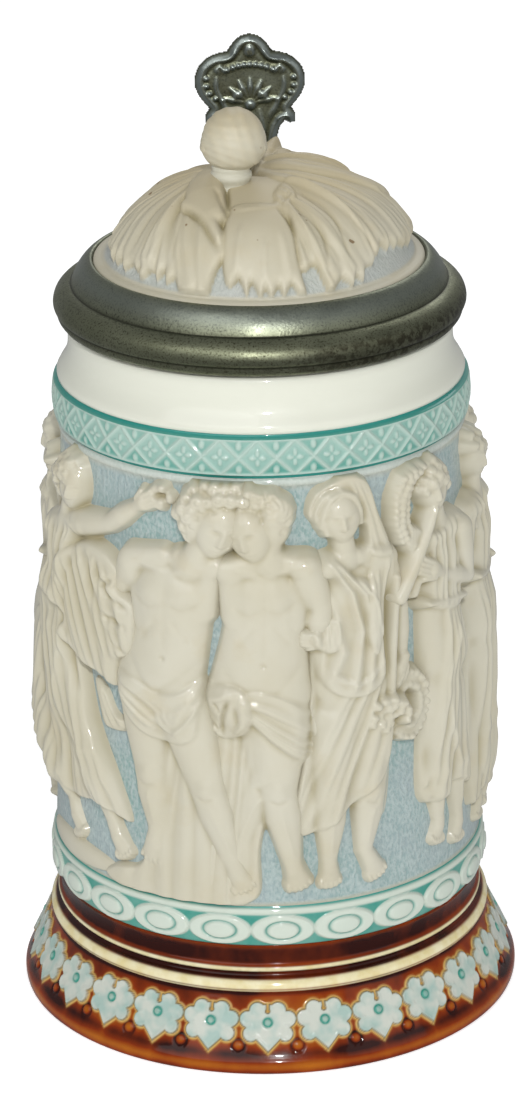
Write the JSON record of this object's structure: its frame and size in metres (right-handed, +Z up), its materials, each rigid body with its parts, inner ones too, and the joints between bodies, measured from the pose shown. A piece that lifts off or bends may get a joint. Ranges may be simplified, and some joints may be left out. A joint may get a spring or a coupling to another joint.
{
  "type": "lidded beer stein",
  "caption": "Tall stoneware drinking vessel with a loop handle, relief figures and a hinged pewter lid opened by a thumblift.",
  "frame": {"origin": "centre of the flat underside, on the vessel's axis", "axes": "+Z up along the vessel's axis, +Y towards the handle and the lid's hinge, +X along the hinge pin"},
  "size_m": [0.1098, 0.1431, 0.2009],
  "materials": {
    "cream_stoneware": "cream stoneware under a thin satin glaze, pale blue ground behind the figures",
    "brown_glaze": "glossy brown glaze running to amber, with pale blue and teal leaves",
    "teal_glaze": "glossy translucent teal glaze over raised ornament",
    "pewter": "aged pewter, dark olive-grey patina with polished edges"
  },
  "bodies": {
    "vessel": {"body_shell": "cream_stoneware", "foot": "brown_glaze", "oval_band": "teal_glaze", "diamond_band": "teal_glaze", "handle": "cream_stoneware", "handle_strap": "pewter", "hinge_pin": "pewter", "relief_dancer": "cream_stoneware", "relief_companion_left": "cream_stoneware", "relief_companion_right": "cream_stoneware", "relief_staff_bearer": "cream_stoneware", "relief_flute_player": "cream_stoneware", "relief_attendant": "cream_stoneware", "relief_grape_bearer": "cream_stoneware", "relief_drummer": "cream_stoneware", "relief_torch_bearer": "cream_stoneware", "relief_jug_bearer": "cream_stoneware"},
    "lid": {"lid_rim": "pewter", "lid_inlay": "cream_stoneware", "lid_tang": "pewter", "thumblift": "pewter"}
  },
  "joints": [
    {"name": "lid_hinge", "type": "hinge", "parent": "vessel", "child": "lid", "pos_m": [0, 0.053, 0.157], "axis": [-1, 0, 0], "range_deg": [0, 100]}
  ]
}
